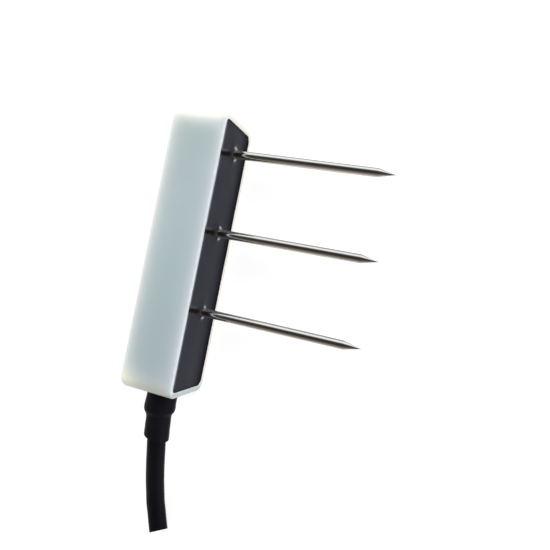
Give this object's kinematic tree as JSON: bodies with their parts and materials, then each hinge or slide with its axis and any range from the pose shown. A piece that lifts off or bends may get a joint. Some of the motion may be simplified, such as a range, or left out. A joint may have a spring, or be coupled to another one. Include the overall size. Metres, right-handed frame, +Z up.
{
  "type": "soil moisture sensor",
  "caption": "Potted soil moisture sensor: long white moulded box filled with dark epoxy, steel probes standing out of its open side, cable with a shrunk sleeve at one end.",
  "frame": {"origin": "on the surface the sensor lies on, under the middle of the housing", "axes": "+Z up through the housing's thickness, +X the way the probes point, +Y along the housing, away from the cable"},
  "size_m": [0.0746, 0.1494, 0.025],
  "materials": {
    "shell": "milky, slightly translucent, satin",
    "epoxy": "cast, glossy",
    "probe_steel": "drawn and polished stainless steel",
    "washer_steel": "zinc plated",
    "nut_brass": "turned",
    "board": "solder mask, satin",
    "chip": "moulded, matt",
    "can": "drawn can, satin",
    "ferrite": "sintered, matt",
    "ceramic": "fired, satin",
    "resistor": "glazed",
    "solder": "reflowed, bright",
    "tie": "moulded nylon",
    "jacket": "extruded, satin",
    "core_red": "extruded, satin",
    "core_black": "extruded, satin",
    "core_yellow": "extruded, satin",
    "core_green": "extruded, satin",
    "sleeve": "shrunk polyolefin, satin"
  },
  "bodies": {
    "root": {"housing_shell": "shell", "potting_fill": "epoxy", "probe_pin_1": "probe_steel", "probe_pin_2": "probe_steel", "probe_pin_3": "probe_steel", "probe_washers": "washer_steel", "probe_nuts": "nut_brass", "control_board": "board", "microcontroller": "chip", "signal_chip": "chip", "bus_transceiver": "chip", "voltage_regulator": "chip", "crystal": "can", "input_capacitor": "can", "power_inductor": "ferrite", "surge_diodes": "chip", "chip_capacitors": "ceramic", "chip_resistors": "resistor", "wire_solder": "solder", "cable_tie": "tie", "cable_jacket": "jacket", "core_red": "core_red", "core_black": "core_black", "core_yellow": "core_yellow", "core_green": "core_green", "heat_shrink_sleeve": "sleeve"}
  },
  "joints": []
}
